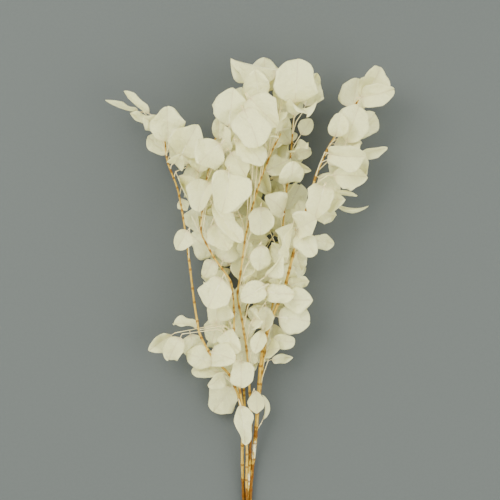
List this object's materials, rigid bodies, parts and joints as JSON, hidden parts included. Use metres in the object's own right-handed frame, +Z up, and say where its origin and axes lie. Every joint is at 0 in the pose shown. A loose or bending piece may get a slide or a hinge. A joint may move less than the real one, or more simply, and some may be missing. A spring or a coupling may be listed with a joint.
{
  "type": "bleached eucalyptus branch bunch",
  "caption": "Bunch of dried, bleached eucalyptus branches with round papery cream leaves on thin ochre twigs, lying flat with its cut stems together at one end.",
  "frame": {"origin": "on the table under the middle of the bunch's bounding box", "axes": "+Y from the cut stems to the leafy ends, +Z up from the table that the bunch lies on, +X to the right seen from above with the leafy ends up"},
  "size_m": [0.4017, 0.699, 0.155],
  "materials": {
    "bleached_leaf": "dull, papery cream leaf, a little see-through, with fine pale veins",
    "bark": "ochre twig with darker joints, and flaking red-brown bark over pale wood at the cut stems"
  },
  "bodies": {
    "root": {"left_branch": "bleached_leaf", "centre_left_branch": "bleached_leaf", "centre_branch": "bleached_leaf", "centre_right_branch": "bleached_leaf", "right_branch": "bleached_leaf", "back_branch": "bleached_leaf"}
  },
  "joints": []
}
